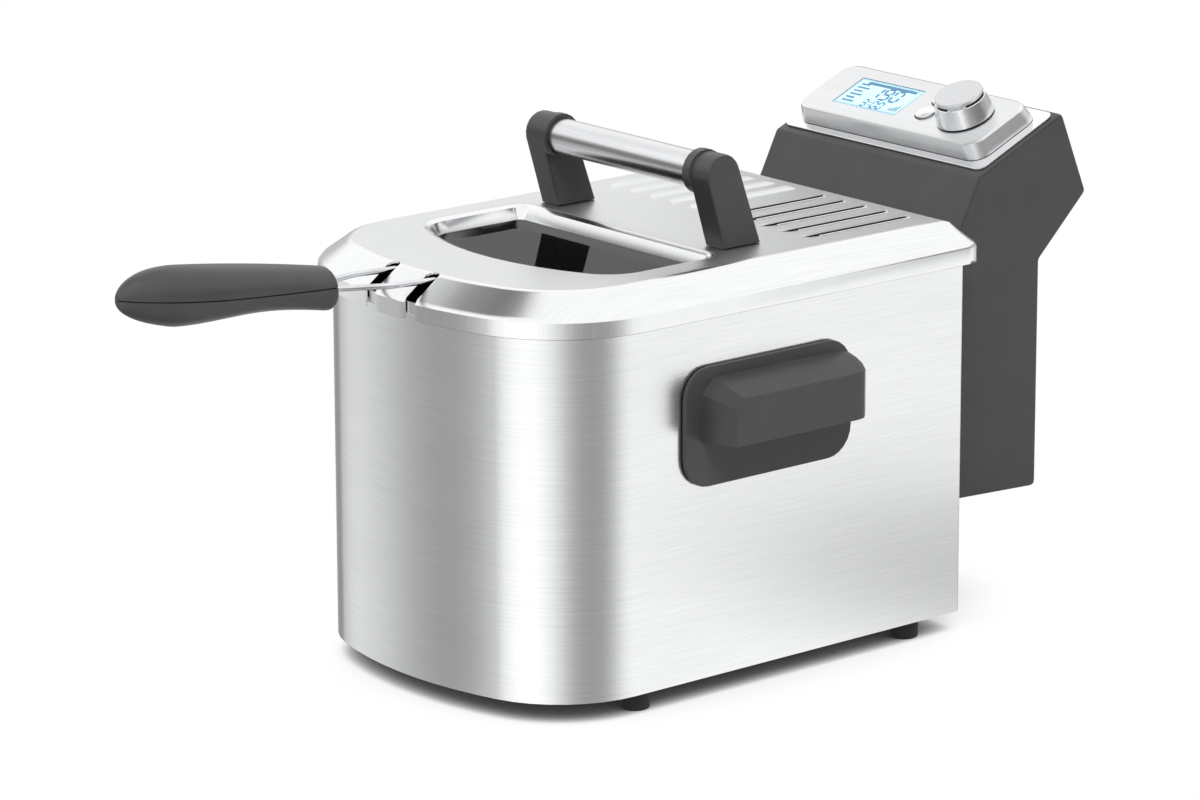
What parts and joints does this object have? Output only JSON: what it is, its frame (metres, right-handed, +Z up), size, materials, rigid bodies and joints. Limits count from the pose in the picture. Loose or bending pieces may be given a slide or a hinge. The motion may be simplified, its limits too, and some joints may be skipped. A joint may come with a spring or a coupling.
{
  "type": "deep fryer",
  "caption": "Countertop deep fryer: brushed steel housing, windowed lid, wire basket with a long grip, and a lift-off control head with display and dial.",
  "frame": {"origin": "middle of the model's bounding box at floor level, under the four feet", "axes": "+Z up, -Y towards the basket's grip at the bowed nose, +X to the right-hand side handle when the nose faces the viewer's left"},
  "size_m": [0.2776, 0.611, 0.2954],
  "materials": {
    "brushed_steel": "brushed",
    "polished_steel": "polished",
    "dark_plastic": "satin dark grey",
    "black_rubber": "matt black",
    "smoked_glass": "smoked, polished",
    "display": "lit liquid-crystal display behind a clear lens",
    "circuit_board": "green solder mask",
    "filter_felt": "grey felt"
  },
  "bodies": {
    "housing": {"outer_shell": "brushed_steel", "base_pan": "dark_plastic", "foot_front_left": "black_rubber", "foot_front_right": "black_rubber", "foot_rear_left": "black_rubber", "foot_rear_right": "black_rubber", "side_handle_left": "dark_plastic", "side_handle_right": "dark_plastic", "guide_rail_left": "dark_plastic", "guide_rail_right": "dark_plastic"},
    "oil_bowl_body": {"oil_bowl": "brushed_steel"},
    "control_head": {"head_housing": "dark_plastic", "head_back_cover": "dark_plastic", "panel_flange": "polished_steel", "panel_fascia": "brushed_steel", "display_lens": "display", "display_board": "circuit_board", "control_board": "circuit_board", "power_inlet": "black_rubber", "inlet_contacts": "polished_steel", "element_bridge": "brushed_steel", "element_plate": "brushed_steel", "heating_element": "polished_steel", "element_strap": "brushed_steel", "temperature_probe": "polished_steel", "limit_probe": "polished_steel"},
    "dial": {"dial_knob": "brushed_steel", "dial_cap": "polished_steel", "dial_shaft": "polished_steel"},
    "front_button": {"select_button_front": "polished_steel"},
    "rear_button": {"select_button_rear": "polished_steel"},
    "reset": {"reset_button": "black_rubber"},
    "basket": {"basket_frame": "polished_steel", "basket_front_mesh": "polished_steel", "basket_rear_mesh": "polished_steel", "basket_left_mesh": "polished_steel", "basket_right_mesh": "polished_steel", "basket_floor_mesh": "polished_steel", "basket_bracket": "polished_steel"},
    "basket_handle": {"handle_wire_left": "polished_steel", "handle_wire_right": "polished_steel", "grip_upper": "dark_plastic", "grip_lower": "dark_plastic"},
    "lid": {"lid_shell": "brushed_steel", "lid_curb_left": "brushed_steel", "lid_curb_right": "brushed_steel", "lid_window": "smoked_glass", "window_seal": "black_rubber", "filter_tray": "dark_plastic", "vent_filter": "filter_felt", "lid_post_left": "dark_plastic", "lid_post_right": "dark_plastic", "lid_handle_bar": "brushed_steel"}
  },
  "joints": [
    {"name": "bowl_lift", "type": "slide", "parent": "housing", "child": "oil_bowl_body", "axis": [0, 0, 1], "range_m": [0, 0.17]},
    {"name": "head_lift", "type": "slide", "parent": "oil_bowl_body", "child": "control_head", "axis": [0, 0, 1], "range_m": [0, 0.19]},
    {"name": "basket_lift", "type": "slide", "parent": "control_head", "child": "basket", "axis": [0, 0, 1], "range_m": [0, 0.15]},
    {"name": "lid_lift", "type": "slide", "parent": "basket", "child": "lid", "axis": [0, 0, 1], "range_m": [0, 0.12]},
    {"name": "handle_detach", "type": "slide", "parent": "basket", "child": "basket_handle", "axis": [0, -1, 0], "range_m": [0, 0.09]},
    {"name": "dial_turn", "type": "hinge", "parent": "control_head", "child": "dial", "pos_m": [0.0458, 0.25263, 0.26477], "axis": [0, -0.3939, 0.9191], "continuous": true},
    {"name": "front_button_press", "type": "slide", "parent": "control_head", "child": "front_button", "axis": [0, 0.3939, -0.9191], "range_m": [0, 0.001], "stiffness_N_per_m": 300},
    {"name": "rear_button_press", "type": "slide", "parent": "control_head", "child": "rear_button", "axis": [0, 0.3939, -0.9191], "range_m": [0, 0.001], "stiffness_N_per_m": 300},
    {"name": "reset_press", "type": "slide", "parent": "control_head", "child": "reset", "axis": [0, -1, 0], "range_m": [0, 0.001], "stiffness_N_per_m": 300}
  ]
}
